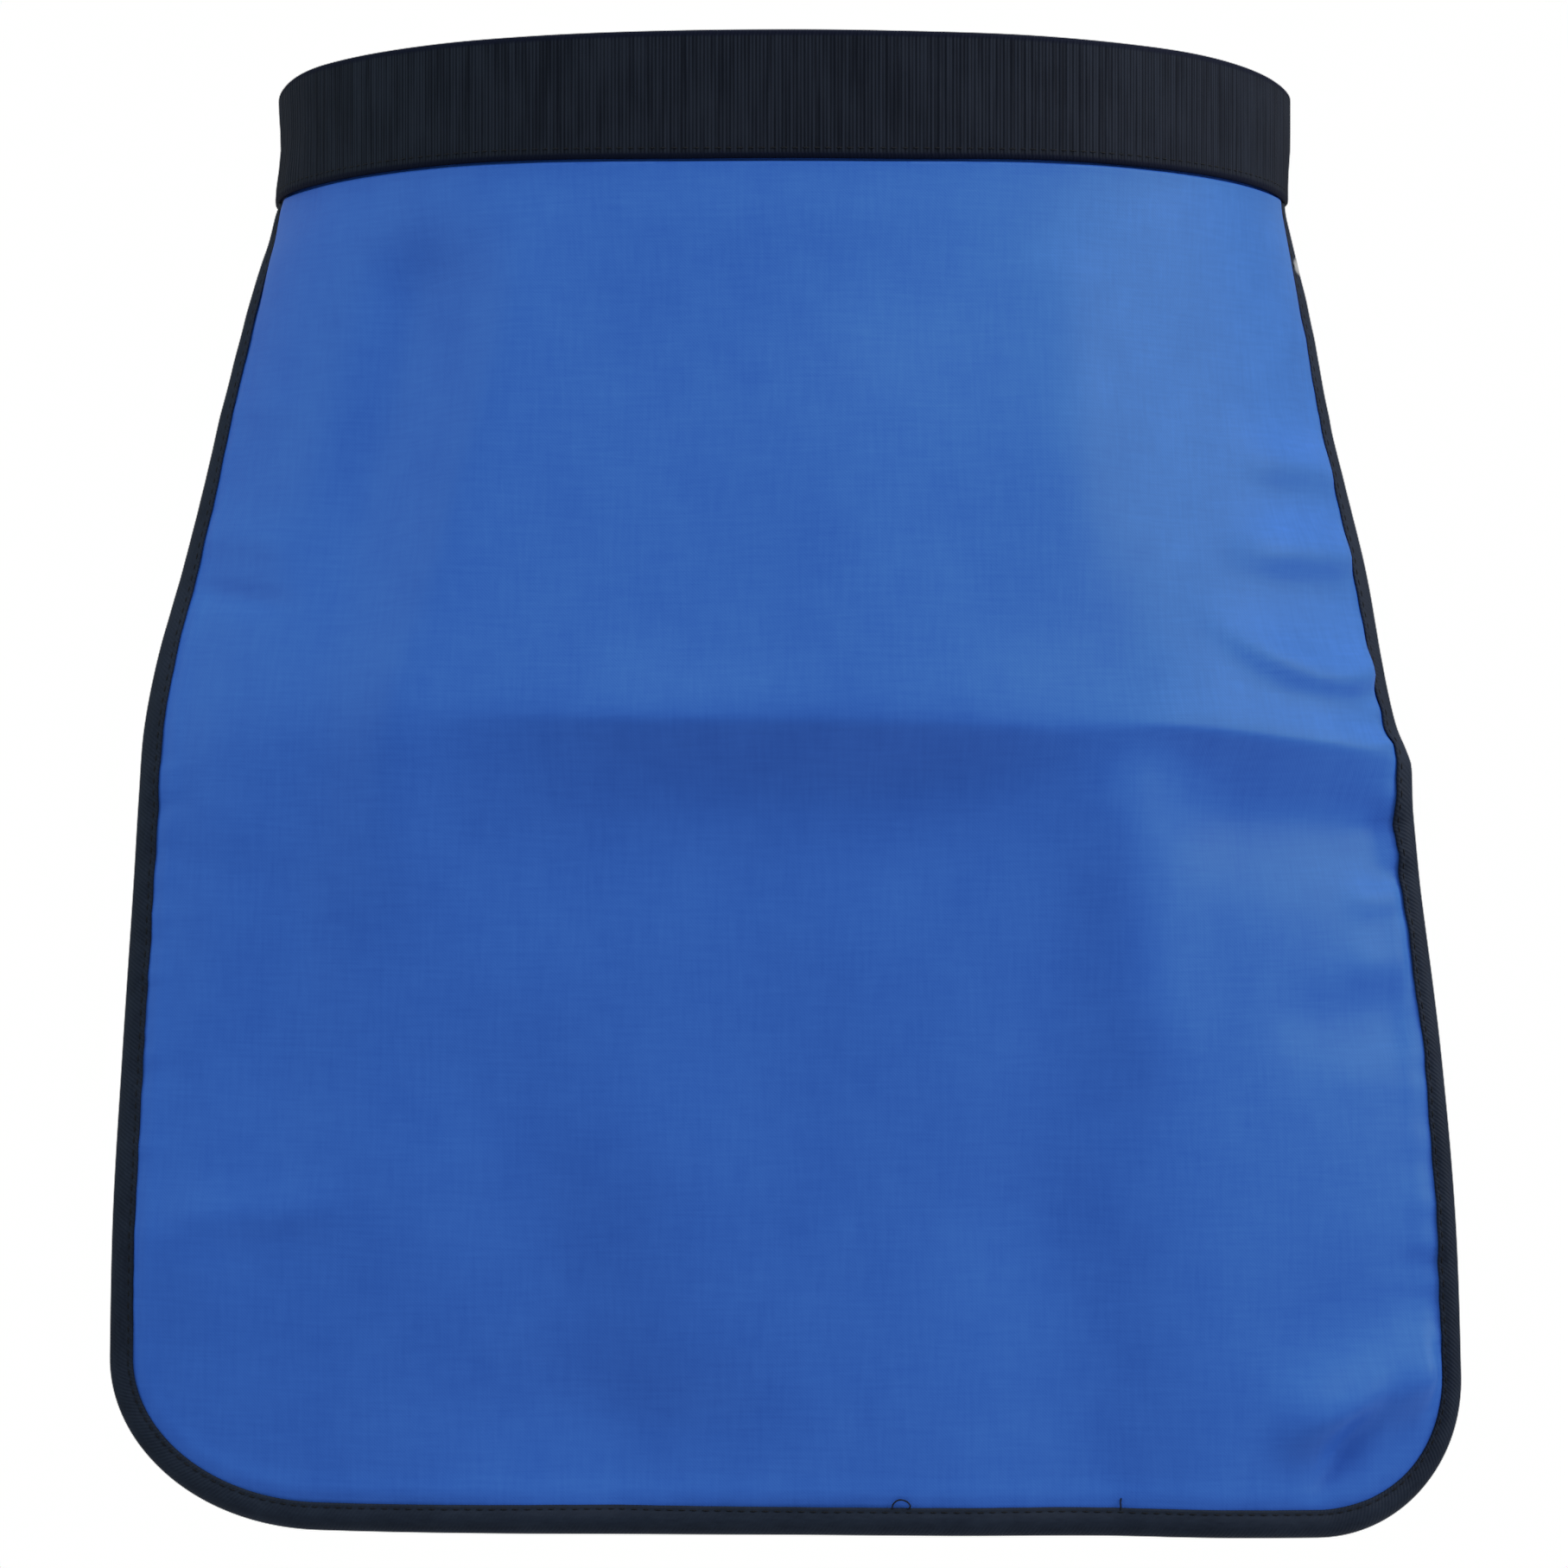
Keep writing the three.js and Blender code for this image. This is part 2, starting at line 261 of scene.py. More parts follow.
def edge_puckers(across, drop):
    """Little gathers that the sewn binding draws into the cloth beside it."""
    inset = edge_distance(across, drop)
    calm = 0.35 + 0.65 * smoothstep(drop, 150, 215)
    total = np.zeros_like(across)
    draw = random.Random(PUCKER_SEED)
    place = 60.0
    while place < 385:
        for side, strength in ((1, 1.0), (-1, 0.5)):
            centre = place + draw.uniform(-3, 3)
            height = strength * draw.uniform(0.35, 1.0) * draw.choice((1, 1, -1))
            reach = draw.uniform(5, 14)
            width = draw.uniform(2.2, 4.0)
            tilt = draw.uniform(-0.12, 0.22)
            line = drop - centre - tilt * (inset - TAPE_WIDTH) * side
            beyond = np.maximum(inset - TAPE_WIDTH, 0)
            near = np.exp(-(line / width) ** 2 - (beyond / reach) ** 2)
            total += np.where(across * side > 0, height * near * calm, 0)
        place += draw.uniform(7.5, 12.0)
    place = -140.0
    while place < 190:
        height = draw.uniform(0.1, 0.34) * draw.choice((1, -1))
        width = draw.uniform(2.2, 4.2)
        reach = draw.uniform(6, 14)
        beyond = np.maximum(HEM - TAPE_WIDTH - drop, 0)
        total += height * np.exp(-((across - place) / width) ** 2 - (beyond / reach) ** 2)
        place += draw.uniform(8, 15)
    return total


def band_lift(way):
    """How far the elastic's lower edge draws up, by the way from the front."""
    away = np.abs(way)
    drawn = BAND_DRAW_MIDDLE + (BAND_DRAW - BAND_DRAW_MIDDLE) * smoothstep(away, 20, 110)
    return drawn - BAND_DRAW * smoothstep(away, 240, 310)


def seam_relief(across, drop):
    """The cloth is pulled down where it is sewn and stands up beside the seams."""
    inset = edge_distance(across, drop)
    ditch = -SEAM_DITCH * np.exp(-((inset - TAPE_WIDTH + 0.6) / 1.6) ** 2)
    swell = SEAM_SWELL * np.exp(-((inset - TAPE_WIDTH - 4.2) / 2.6) ** 2)
    under_band = smoothstep(drop, 21, 30)
    rim = BAND_HEIGHT / 2 - band_lift(across)
    puff = BAND_PUFF * smoothstep(drop - rim, 0.1, 1.3) * (1 - smoothstep(drop, 26, 95))
    puff = puff * smoothstep(inset, 8, 16)
    return (ditch + swell) * under_band + puff


def unevenness(across, drop):
    """Slight waves and dimples of a heavy sheet under a thin cover."""
    out = np.empty_like(across)
    flat_out, a, d = out.ravel(), across.ravel(), drop.ravel()
    for i in range(flat_out.size):
        slow = noise.noise(Vector((a[i] / 46, d[i] / 60, 3.7)))
        quick = noise.noise(Vector((a[i] / 15, d[i] / 19, 8.1)))
        flat_out[i] = SLOW_WAVE * slow + QUICK_WAVE * quick
    return out * smoothstep(drop, 24, 60)


def drape(across, drop):
    """Front face of the panel before its folds, as an array of points."""
    flare = 1 + TOP_FLARE * (1 - smoothstep(drop, 16, 75))
    share = across / (PANEL_WIDTH / 2) * flare
    left, right = section("turn_left", drop), section("turn_right", drop)
    turn = np.radians(np.where(share < 0, left, right))
    run, back = bow(turn, section("bend", drop), np.abs(share), PANEL_WIDTH / 2)
    run = run * (1 + SIDE_EASE * smoothstep(drop, 80, 150))
    left_top = smoothstep(-across, *LEFT_END) * smoothstep(drop, 12, 24)
    left_top = left_top * (1 - smoothstep(drop, 22, 38))
    x = np.sign(share) * run - LEFT_STAND * left_top
    sag = HEM_DROOP * np.maximum(share, 0) ** 1.5 * smoothstep(drop, 220, HEM)
    y = back - WAIST_DEPTH - section("lead", drop)
    return np.stack([x, y, -drop - sag], axis=-1)


def unit(v):
    return v / np.linalg.norm(v, axis=-1, keepdims=True)


def way_along(points):
    """Distances from the first of these points to each of them, along their line."""
    steps = np.linalg.norm(np.diff(points, axis=0), axis=1)
    return np.concatenate([[0], np.cumsum(steps)])


def strip_map(way, ring):
    """UV places of a strip: the way along it and the way round its closed section."""
    round_way = way_along(np.vstack([ring, ring[:1]]))
    return np.stack(np.meshgrid(way, round_way, indexing="ij"), axis=-1)


def facing(surface, across, drop, step=0.5):
    """Outward direction of a surface that is given as a function of the flat place."""
    over = surface(across + step, drop) - surface(across - step, drop)
    up = surface(across, drop - step) - surface(across, drop + step)
    return unit(np.cross(over, up))


def folded(across, drop):
    """Front face of the panel with its folds and puckers."""
    inset = edge_distance(across, drop)
    fine = fold_height(PUCKERS, across, drop) * smoothstep(inset, 5, 13)
    broad = fold_height(FOLDS, across, drop) * (0.8 + 0.2 * smoothstep(inset, 0, 16))
    height = broad + fine + edge_puckers(across, drop) * smoothstep(inset, 0, 9)
    return drape(across, drop) + facing(drape, across, drop) * height[..., None]


def side_edge(side, drop):
    """Flat place of the panel's side edge at a drop, and the direction in from it."""
    wide, deep = CORNER_LEFT if side < 0 else CORNER_RIGHT
    past = max((drop - HEM) / deep + 1, 0.0)
    share = math.sqrt(max(1 - past ** 2, 0.0))
    inside = Vector((-side * share / wide, -past / deep)).normalized()
    return side * (PANEL_WIDTH / 2 - wide * (1 - share)), drop, inside.x, inside.y


def waist(way, out):
    """Points of the waist oval, by the way round from its front, standing off by out."""
    lap = 4 * WAIST_QUARTER
    round_way = way - lap * np.round(way / lap)
    behind = np.abs(round_way) > WAIST_QUARTER
    quarter = np.where(behind, lap / 2 - np.abs(round_way), np.abs(round_way))
    share = quarter / WAIST_QUARTER
    run, back = bow(math.pi / 2, WAIST_BEND, share, WAIST_QUARTER)
    angle = math.pi / 2 * share ** WAIST_BEND
    x = np.where(round_way < 0, -1, 1) * (run + out * np.sin(angle))
    y = back - WAIST_DEPTH - out * np.cos(angle)
    return x, np.where(behind, -y, y)


def activate(obj):
    bpy.ops.object.select_all(action="DESELECT")
    obj.select_set(True)
    bpy.context.view_layer.objects.active = obj


def cloth_grid(name, columns, rows):
    """A flat grid of columns by rows cells, whose points are then moved to given places."""
    bpy.ops.object.select_all(action="DESELECT")
    bpy.ops.mesh.primitive_grid_add(x_subdivisions=columns, y_subdivisions=rows, size=1)
    obj = bpy.context.object
    obj.name = obj.data.name = name
    return obj


def place_points(obj, points, uv):
    """Moves a grid's points to an array of places in millimetres and lays its UV map."""
    mesh = obj.data
    mesh.vertices.foreach_set("co", (points.reshape(-1, 3) * MM).ravel())
    index = np.empty(len(mesh.loops), dtype=np.int32)
    mesh.loops.foreach_get("vertex_index", index)
    flat = (uv.reshape(-1, 2) * MM)[index]
    mesh.uv_layers[0].data.foreach_set("uv", flat.ravel())
    mesh.update()


def sleeve(name, rings, uv):
    """A closed strip from an array of stations by points round its section.

    Each end is capped by itself, because one fill would join the two rims.
    """
    stations, around = rings.shape[:2]
    closed = np.concatenate([rings, rings[:, :1]], axis=1)
    obj = cloth_grid(name, around, stations - 1)
    place_points(obj, closed, uv)
    activate(obj)
    bpy.ops.object.mode_set(mode="EDIT")
    bpy.ops.mesh.select_all(action="SELECT")
    bpy.ops.mesh.remove_doubles(threshold=1e-6)
    bpy.ops.mesh.select_mode(type="EDGE")
    first, last = (Vector(rings[end].mean(axis=0)) * MM for end in (0, -1))
    for here, there in ((first, last), (last, first)):
        bpy.ops.mesh.select_all(action="DESELECT")
        for edge in bmesh.from_edit_mesh(obj.data).edges:
            place = (edge.verts[0].co + edge.verts[1].co) / 2
            nearer = (place - here).length < (place - there).length
            edge.select_set(edge.is_boundary and nearer)
        bmesh.update_edit_mesh(obj.data)
        bpy.ops.mesh.fill()
    bpy.ops.mesh.select_all(action="SELECT")
    bpy.ops.mesh.normals_make_consistent(inside=False)
    bpy.ops.object.mode_set(mode="OBJECT")
    return obj


def finish_piece(obj, material, angle=None):
    obj.data.materials.clear()
    obj.data.materials.append(material)
    activate(obj)
    if angle is None:
        bpy.ops.object.shade_smooth()
    else:
        bpy.ops.object.shade_smooth_by_angle(angle=math.radians(angle))
    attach(obj, "root")
    return obj


class Value:
    """A shader value: sums, products and powers of values add their Math nodes."""

    def __init__(self, shader, socket):
        self.shader = shader
        self.socket = socket

    def math(self, operation, *others):
        sources = [self, *others]
        inputs = dict(enumerate(sources))
        return self.shader.add("ShaderNodeMath", {"operation": operation}, inputs).out(0)

    def __add__(self, other):
        return self.math("ADD", other)

    def __mul__(self, other):
        return self.math("MULTIPLY", other)

    def __sub__(self, other):
        return self.math("SUBTRACT", other)

    def __rsub__(self, other):
        return self.math("MULTIPLY", -1.0).math("ADD", other)

    def __truediv__(self, other):
        return self.math("DIVIDE", other)

    def __pow__(self, other):
        return self.math("POWER", other)


class Made:
    """A node that was just added, whose outputs are picked by name or number."""

    def __init__(self, shader, node):
        self.shader = shader
        self.node = node

    def out(self, key):
        return Value(self.shader, self.node.outputs[key])


class Finish:
    """One material and the nodes that make it."""

    def __init__(self, name):
        self.material = bpy.data.materials.new(name)
        self.material.use_nodes = True
        self.tree = self.material.node_tree
        self.surface = self.tree.nodes["Principled BSDF"]

    def add(self, kind, settings=None, inputs=None):
        node = self.tree.nodes.new(kind)
        for key, value in (settings or {}).items():
            setattr(node, key, value)
        for key, value in (inputs or {}).items():
            self.feed(node.inputs[key], value)
        return Made(self, node)

    def feed(self, socket, value):
        if isinstance(value, Value):
            self.tree.links.new(value.socket, socket)
        else:
            socket.default_value = value

    def set(self, **inputs):
        for key, value in inputs.items():
            self.feed(self.surface.inputs[key.replace("_", " ")], value)

    def flat_places(self):
        """The piece's UV map in millimetres: one vector and its two parts."""
        uv = self.add("ShaderNodeUVMap", {"uv_map": "UVMap"}).out("UV")
        scaled = self.add("ShaderNodeVectorMath", {"operation": "SCALE"},
                          {0: uv, "Scale": 1 / MM}).out("Vector")
        parts = self.add("ShaderNodeSeparateXYZ", {}, {"Vector": scaled})
        return scaled, parts.out("X"), parts.out("Y")

    def noise(self, vector, stretch, scale, detail=3.0, roughness=0.55):
        """Noise over a vector that is first stretched, from 0 to 1."""
        at = self.add("ShaderNodeVectorMath", {"operation": "MULTIPLY"},
                      {0: vector, 1: stretch}).out("Vector")
        made = self.add("ShaderNodeTexNoise", {"noise_dimensions": "3D"},
                        {"Vector": at, "Scale": scale, "Detail": detail, "Roughness": roughness})
        return made.out("Fac")

    def mix(self, share, first, second):
        """A colour between two, by a share from 0 to 1."""
        made = self.add("ShaderNodeMix", {"data_type": "RGBA", "clamp_factor": True},
                        {0: share, 6: first, 7: second})
        return made.out(2)

    def spot(self, x, y, place, reach):
        """A soft oval spot: 1 at its middle, 0 from its rim out."""
        away = ((x - place[0]) / reach[0]) ** 2.0 + ((y - place[1]) / reach[1]) ** 2.0
        return (1.0 - away).math("MAXIMUM", 0.0)

    def bump(self, height, strength, distance):
        made = self.add("ShaderNodeBump", {},
                        {"Strength": strength, "Distance": distance, "Height": height})
        self.set(Normal=made.out("Normal"))


def rgb(red, green, blue):
    return (red, green, blue, 1.0)


# Two small marks of use and how far they reach: a rubbed round by its flat place
# on the panel, and a scuff by the way along the tape and round its section.
ROUND_MARK = (-8.5, -90.0)
ROUND_REACH = (7.0, 7.0)
SCUFF = (1195.0, 4.6)
SCUFF_REACH = (3.6, 3.2)
EVEN = (1.0, 1.0, 1.0)


def nylon_finish():
    """Blue coated nylon: fine plain weave, slubs along both threads, slight mottling."""
    f = Finish("blue_nylon")
    flat, across, down = f.flat_places()
    warp = f.noise(flat, (1.0, 0.09, 1.0), 0.75, detail=2.0)
    weft = f.noise(flat, (0.09, 1.0, 1.0), 0.75, detail=2.0)
    mottle = f.noise(flat, (1.0, 0.8, 1.0), 0.045, detail=4.0, roughness=0.6)
    cell = (across * 6.4).math("SINE") * (down * 6.4).math("SINE")
    threads = (warp + weft) * 0.5
    rubbed = f.spot(across, down, ROUND_MARK, ROUND_REACH)
    shade = (mottle - 0.5) * 0.9 + (threads - 0.5) * 1.3 - rubbed * 0.22 + 0.5
    colour = f.mix(shade, rgb(0.0237, 0.0938, 0.428), rgb(0.0368, 0.1298, 0.536))
    f.set(Base_Color=colour, Roughness=threads * 0.12 + 0.42)
    f.set(Specular_IOR_Level=0.115, Specular_Tint=rgb(0.72, 0.92, 1.0))
    f.bump(threads * 0.7 + cell * 0.1, 0.2, 0.0006)
    return f.material


def tape_finish():
    """Black woven binding tape: a close twill with a slight gloss."""
    f = Finish("black_tape")
    flat, along, over = f.flat_places()
    rib = ((along * 0.75 + over * 0.5) * (2 * math.pi)).math("SINE")
    slub = f.noise(flat, (0.25, 1.0, 1.0), 0.9)
    wear = f.noise(flat, EVEN, 0.06, detail=4.0)
    shade = slub * 0.5 + wear * 0.5
    cloth = f.mix((shade - 0.3) * 2.4, rgb(0.0058, 0.0095, 0.0190), rgb(0.0130, 0.0195, 0.0340))
    scuffed = f.spot(along, over, SCUFF, SCUFF_REACH) * (slub + 0.35)
    colour = f.mix(scuffed, cloth, rgb(0.42, 0.42, 0.40))
    f.set(Base_Color=colour, Roughness=slub * 0.2 + 0.5)
    f.set(Specular_IOR_Level=0.08)
    f.bump(rib * 0.3 + slub * 0.5, 0.3, 0.0005)
    return f.material


def elastic_finish():
    """Black knitted elastic: upright cords, two to each modelled rib, and darker, bluer edges,
    partly its woven border and partly painted shade.
    """
    f = Finish("black_elastic")
    flat, way, height = f.flat_places()
    cords = (way * (4 * math.pi / RIB_PITCH)).math("COSINE")
    streaks = f.noise(flat, (1.0, 0.03, 1.0), 0.62, detail=2.0)
    fuzz = f.noise(flat, (1.0, 0.3, 1.0), 1.1)
    patchy = f.noise(flat, EVEN, 0.05)
    shade = cords * (streaks * 0.9) + (streaks - 0.5) * 2.2
    shade = shade + (patchy - 0.5) * 0.8 + 0.5
    knit = f.mix(shade, rgb(0.0022, 0.0038, 0.0085), rgb(0.0125, 0.0168, 0.0278))
    # Painted shade: the darker, bluer colour along the top and bottom edges is partly the woven
    # border and partly the shade along the band's rounded edges.
    border_and_edge_shade = (1.6 - height).math("MAXIMUM", height - (BAND_HEIGHT - 2.8))
    border_and_edge_shade = border_and_edge_shade.math("MAXIMUM", 0.0)
    colour = f.mix(border_and_edge_shade, knit, rgb(0.0016, 0.0034, 0.0125))
    f.set(Base_Color=colour, Roughness=fuzz * 0.15 + 0.62)
    f.set(Specular_IOR_Level=0.07)
    f.bump(cords * 0.3 + fuzz * 0.4, 0.3, 0.0004)
    return f.material


def hook_finish():
    """Black hook-and-loop tape with a fuzzy face."""
    f = Finish("black_hook_and_loop")
    flat = f.flat_places()[0]
    fuzz = f.noise(flat, EVEN, 1.6, detail=4.0)
    colour = f.mix((fuzz - 0.3) * 2.0, rgb(0.006, 0.0065, 0.008), rgb(0.016, 0.017, 0.02))
    f.set(Base_Color=colour, Roughness=fuzz * 0.1 + 0.82)
    f.set(Specular_IOR_Level=0.25)
    f.bump(fuzz, 0.6, 0.0008)
    return f.material


def thread_finish():
    """Black sewing thread with its twist."""
    f = Finish("black_thread")
    where = f.add("ShaderNodeTexCoord").out("Object")
    twist = f.add("ShaderNodeTexWave", {"bands_direction": "DIAGONAL"},
                  {"Vector": where, "Scale": 900.0, "Distortion": 0.6}).out("Fac")
    colour = f.mix(twist, rgb(0.0035, 0.0042, 0.0062), rgb(0.0100, 0.0112, 0.0145))
    f.set(Base_Color=colour, Roughness=twist * 0.15 + 0.55)
    f.set(Specular_IOR_Level=0.1)
    f.bump(twist, 0.3, 0.0002)
    return f.material


NYLON = nylon_finish()
TAPE = tape_finish()
ELASTIC = elastic_finish()
HOOK = hook_finish()
THREAD = thread_finish()


def make_panel():
    drops, top = [], PANEL_TOP
    for bottom, count in PANEL_ROWS:
        drops.append(np.linspace(top, bottom, count + 1)[:-1])
        top = bottom
    turned = np.linspace(0, math.pi / 2, CORNER_ROWS + 1)
    drops.append(top + CORNER_LEFT[1] * np.sin(turned))
    drops = np.concatenate(drops)[::-1]
    columns, rows = PANEL_COLUMNS, len(drops) - 1
    obj = cloth_grid("panel_cloth", columns, rows)
    shares = np.linspace(-1, 1, columns + 1)
    edges = np.array([[side_edge(-1, d)[0] + EDGE_TUCK, side_edge(1, d)[0] - EDGE_TUCK]
                      for d in drops])
    across = np.where(shares[None, :] < 0, -edges[:, :1], edges[:, 1:]) * shares[None, :]
    tucked = PANEL_TOP + (drops - PANEL_TOP) * (1 - EDGE_TUCK / (HEM - PANEL_TOP))
    drop = np.repeat(tucked[:, None], columns + 1, axis=1)
    relief = seam_relief(across, drop) + unevenness(across, drop)
    front, out = folded(across, drop), facing(folded, across, drop)
    points = front + out * relief[..., None]
    place_points(obj, points, np.stack([across, -drop], axis=-1))
    activate(obj)
    wall = obj.modifiers.new("wall", "SOLIDIFY")
    wall.thickness = PANEL_THICK * MM
    wall.offset = -1.0
    bpy.ops.object.modifier_apply(modifier=wall.name)
    lining = front - out * (PANEL_THICK - 0.3 * relief[..., None])
    walls = np.concatenate([points.reshape(-1, 3), lining.reshape(-1, 3)]) * MM
    obj.data.vertices.foreach_set("co", walls.ravel())
    obj.data.update()
    finish_piece(obj, NYLON, 50)
    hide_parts("apron_panel")
    return obj


def corner_edge(side, angles):
    """Flat places round a hem corner, by the angle turned from the straight side."""
    deep = (CORNER_LEFT if side < 0 else CORNER_RIGHT)[1]
    return [side_edge(side, HEM - deep * (1 - math.sin(a))) for a in angles]


def bound_edge():
    """Flat places along the bound edge with the direction in from it, and the way along."""
    down = np.arange(TAPE_TOP, HEM - CORNER_LEFT[1], TAPE_STEP)
    up = np.arange(HEM - CORNER_RIGHT[1] - TAPE_STEP, TAPE_TOP, -TAPE_STEP)
    left = [side_edge(-1, d) for d in down]
    left += corner_edge(-1, np.linspace(0, math.pi / 2, 44))
    right = corner_edge(1, np.linspace(math.pi / 2, 0, 38))
    right += [side_edge(1, d) for d in up] + [side_edge(1, TAPE_TOP)]
    start, end = left[-1][0] + TAPE_STEP, side_edge(1, HEM)[0] - TAPE_STEP / 2
    hem = [(a, HEM, 0.0, -1.0) for a in np.arange(start, end, TAPE_STEP)]
    path = np.array(left + hem + right)
    return path, way_along(path[:, :2])


# Section of the folded tape: distance in from the panel's edge and height off
# its front face, first round the outside and then back along the inside.
TAPE_OUTSIDE = [
    (7.4, 0.28), (7.2, 0.66), (6.7, 0.86), (6.1, 0.8), (5.5, 1.05),
    (4.4, 1.5), (3.0, 1.68), (1.6, 1.52), (0.4, 1.1), (-0.6, 0.3),
    (-1.1, -0.8), (-1.2, -1.6), (-1.0, -2.6), (-0.4, -3.5), (0.6, -4.1),
    (1.9, -4.4), (4.0, -4.45), (5.6, -4.0), (6.8, -3.85), (7.3, -3.55),
]
TAPE_INSIDE = [
    (7.3, -3.12), (4.5, -3.14), (1.0, -3.2), (-0.4, -2.4),
    (-0.5, -0.6), (1.0, 0.2), (4.5, 0.14), (7.4, 0.12),
]
TAPE_GROOVE = (6.1, 0.8)


def tape_inset(path, inset):
    """How far in from the edge a place on the tape lies; it is narrower low on the right."""
    low_right = smoothstep(path[:, 1], 235, 300) * smoothstep(-path[:, 2], 0.2, 0.95)
    share = 1 - 0.2 * low_right
    return np.where(inset > 0.5, 0.5 + (inset - 0.5) * share[:, None], inset)


def make_binding():
    path, way = bound_edge()
    profile = np.array(TAPE_OUTSIDE + TAPE_INSIDE)
    stations, around = len(path), len(profile)
    inset = tape_inset(path, profile[None, :, 0])
    across = path[:, None, 0] + path[:, None, 2] * inset
    drop = path[:, None, 1] + path[:, None, 3] * inset
    swell = np.array([noise.noise(Vector((w / 9, 0.5, 2.0))) for w in way])
    slack = np.array([noise.noise(Vector((w / 31, 4.5, 6.0))) for w in way])
    out = np.repeat(profile[None, :, 1], stations, axis=0)
    outside = np.arange(around) < len(TAPE_OUTSIDE)
    raised = np.clip(np.abs(out + PANEL_THICK / 2) - PANEL_THICK / 2 - 0.6, 0, None)
    puff = (0.22 * swell + 0.18 * slack)[:, None] * raised * np.sign(out + PANEL_THICK / 2)
    out = out + np.where(outside[None, :], puff, 0)
    points = folded(across, drop) + facing(folded, across, drop) * out[..., None]
    obj = sleeve("binding_tape", points, strip_map(way, profile))
    finish_piece(obj, TAPE, 60)
    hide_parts("edge_binding")
    return obj


def band_rise(way):
    """How far the elastic stands off its oval, more where its end laps over the patch."""
    lap_start = HALF_LOOP - LAP_HALF
    return GAP + LAP_RISE * smoothstep(way, lap_start - LAP_RAMP, lap_start)


def band_stand(way, height):
    """How far the elastic leaves its oval at the sides.

    On the left it goes out with the panel, and on the right in below.
    """
    front = 1 - smoothstep(np.abs(way), 262, 330)
    left = smoothstep(-way, *LEFT_END) * front
    right = smoothstep(way, 190, 226) * front
    past_panel = smoothstep(way, 216, 231) * front
    spread = LEFT_OUT_LOW * smoothstep(-height, 2, 19) + LEFT_OUT_HIGH * smoothstep(height, 8, 18)
    waisted = LEFT_IN_MIDDLE * np.exp(-((height - 2) / 6) ** 2)
    return (left * (spread - waisted) + RIGHT_OUT_HIGH * right * smoothstep(height, -12, 4)
            - RIGHT_IN_LOW * past_panel * smoothstep(-height, 4, 18))


def band_dip(way):
    """How far the elastic's upper edge sinks towards the sides."""
    front = 1 - smoothstep(np.abs(way), 250, 330)
    return (LEFT_DIP * smoothstep(-way, 165, 225) + RIGHT_DIP * smoothstep(way, 120, 215)) * front


def make_band():
    start, end = -HALF_LOOP - LAP_HALF, HALF_LOOP + LAP_HALF
    way = np.linspace(start, end, RIB_COUNT * RIB_STEPS + 1)
    half = BAND_HEIGHT / 2
    heights = np.array([-19.4, -18.4, -14, -7, 0, 7, 14, 18.4, 19.4])
    ring = [(BAND_THICK - RIB_DEPTH, z) for z in heights]
    ring += [(BAND_THICK - BAND_ROUND, half), (BAND_ROUND, half)]
    ring += [(RIB_DEPTH, z) for z in heights[::-1]]
    ring += [(BAND_ROUND, -half), (BAND_THICK - BAND_ROUND, -half)]
    ring = np.array(ring)
    draw = random.Random(RIB_SEED)
    strength = np.repeat([draw.uniform(0.6, 1.2) for _ in range(RIB_COUNT)], RIB_STEPS)
    strength = np.append(strength, strength[-1])
    wave = np.cos(2 * math.pi * np.arange(len(way)) / RIB_STEPS) * strength
    bevel = np.clip((half - np.abs(ring[:, 1])) / 1.2, 0, 1)
    face = np.where(ring[:, 0] > BAND_THICK / 2, 1, -1) * bevel
    edge_wave = np.array([noise.noise(Vector((w / 38, 1.5, 0.3))) for w in way])
    out = ring[None, :, 0] + RIB_DEPTH * wave[:, None] * face[None, :]
    out = out + band_rise(way)[:, None] + band_stand(way[:, None], ring[None, :, 1])
    x, y = waist(np.repeat(way[:, None], len(ring), axis=1), out)
    z = ring[None, :, 1] + BAND_EDGE_WAVE * edge_wave[:, None] * np.abs(ring[None, :, 1]) / half
    z = z + band_lift(way)[:, None] * smoothstep(-ring[None, :, 1], 0, half)
    z = z - band_dip(way)[:, None] * smoothstep(ring[None, :, 1], 0, half)
    obj = sleeve("elastic_band", np.stack([x, y, z], axis=-1), strip_map(way, ring))
    finish_piece(obj, ELASTIC, 60)
    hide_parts("waistband")


def make_patch():
    way = np.linspace(HALF_LOOP - PATCH_LENGTH / 2, HALF_LOOP + PATCH_LENGTH / 2, 63)
    half = PATCH_HEIGHT / 2
    heights = np.linspace(-half + 0.6, half - 0.6, 18)
    middle = PATCH_THICK / 2
    edge = [(PATCH_THICK - PATCH_ROUND, half), (middle + PATCH_SLIT, half),
            (middle, half - PATCH_SEAM), (middle - PATCH_SLIT, half), (PATCH_ROUND, half)]
    ring = [(PATCH_THICK, z) for z in heights] + edge
    ring += [(0.0, z) for z in heights[::-1]] + [(o, -z) for o, z in edge[::-1]]
    ring = np.array(ring)
    ragged = np.array([[noise.noise(Vector((w * 0.9, o * 3.0, z * 0.4))) for o, z in ring]
                       for w in way])
    out = np.repeat(ring[None, :, 0], len(way), axis=0) + BAND_THICK + 2 * GAP
    x, y = waist(np.repeat(way[:, None], len(ring), axis=1), out)
    z = ring[None, :, 1] - PATCH_FUZZ * np.abs(ragged) * np.sign(ring[None, :, 1])
    obj = sleeve("hook_and_loop_patch", np.stack([x, y, z], axis=-1), strip_map(way, ring))
    finish_piece(obj, HOOK, 60)
    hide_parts("closure_patch")


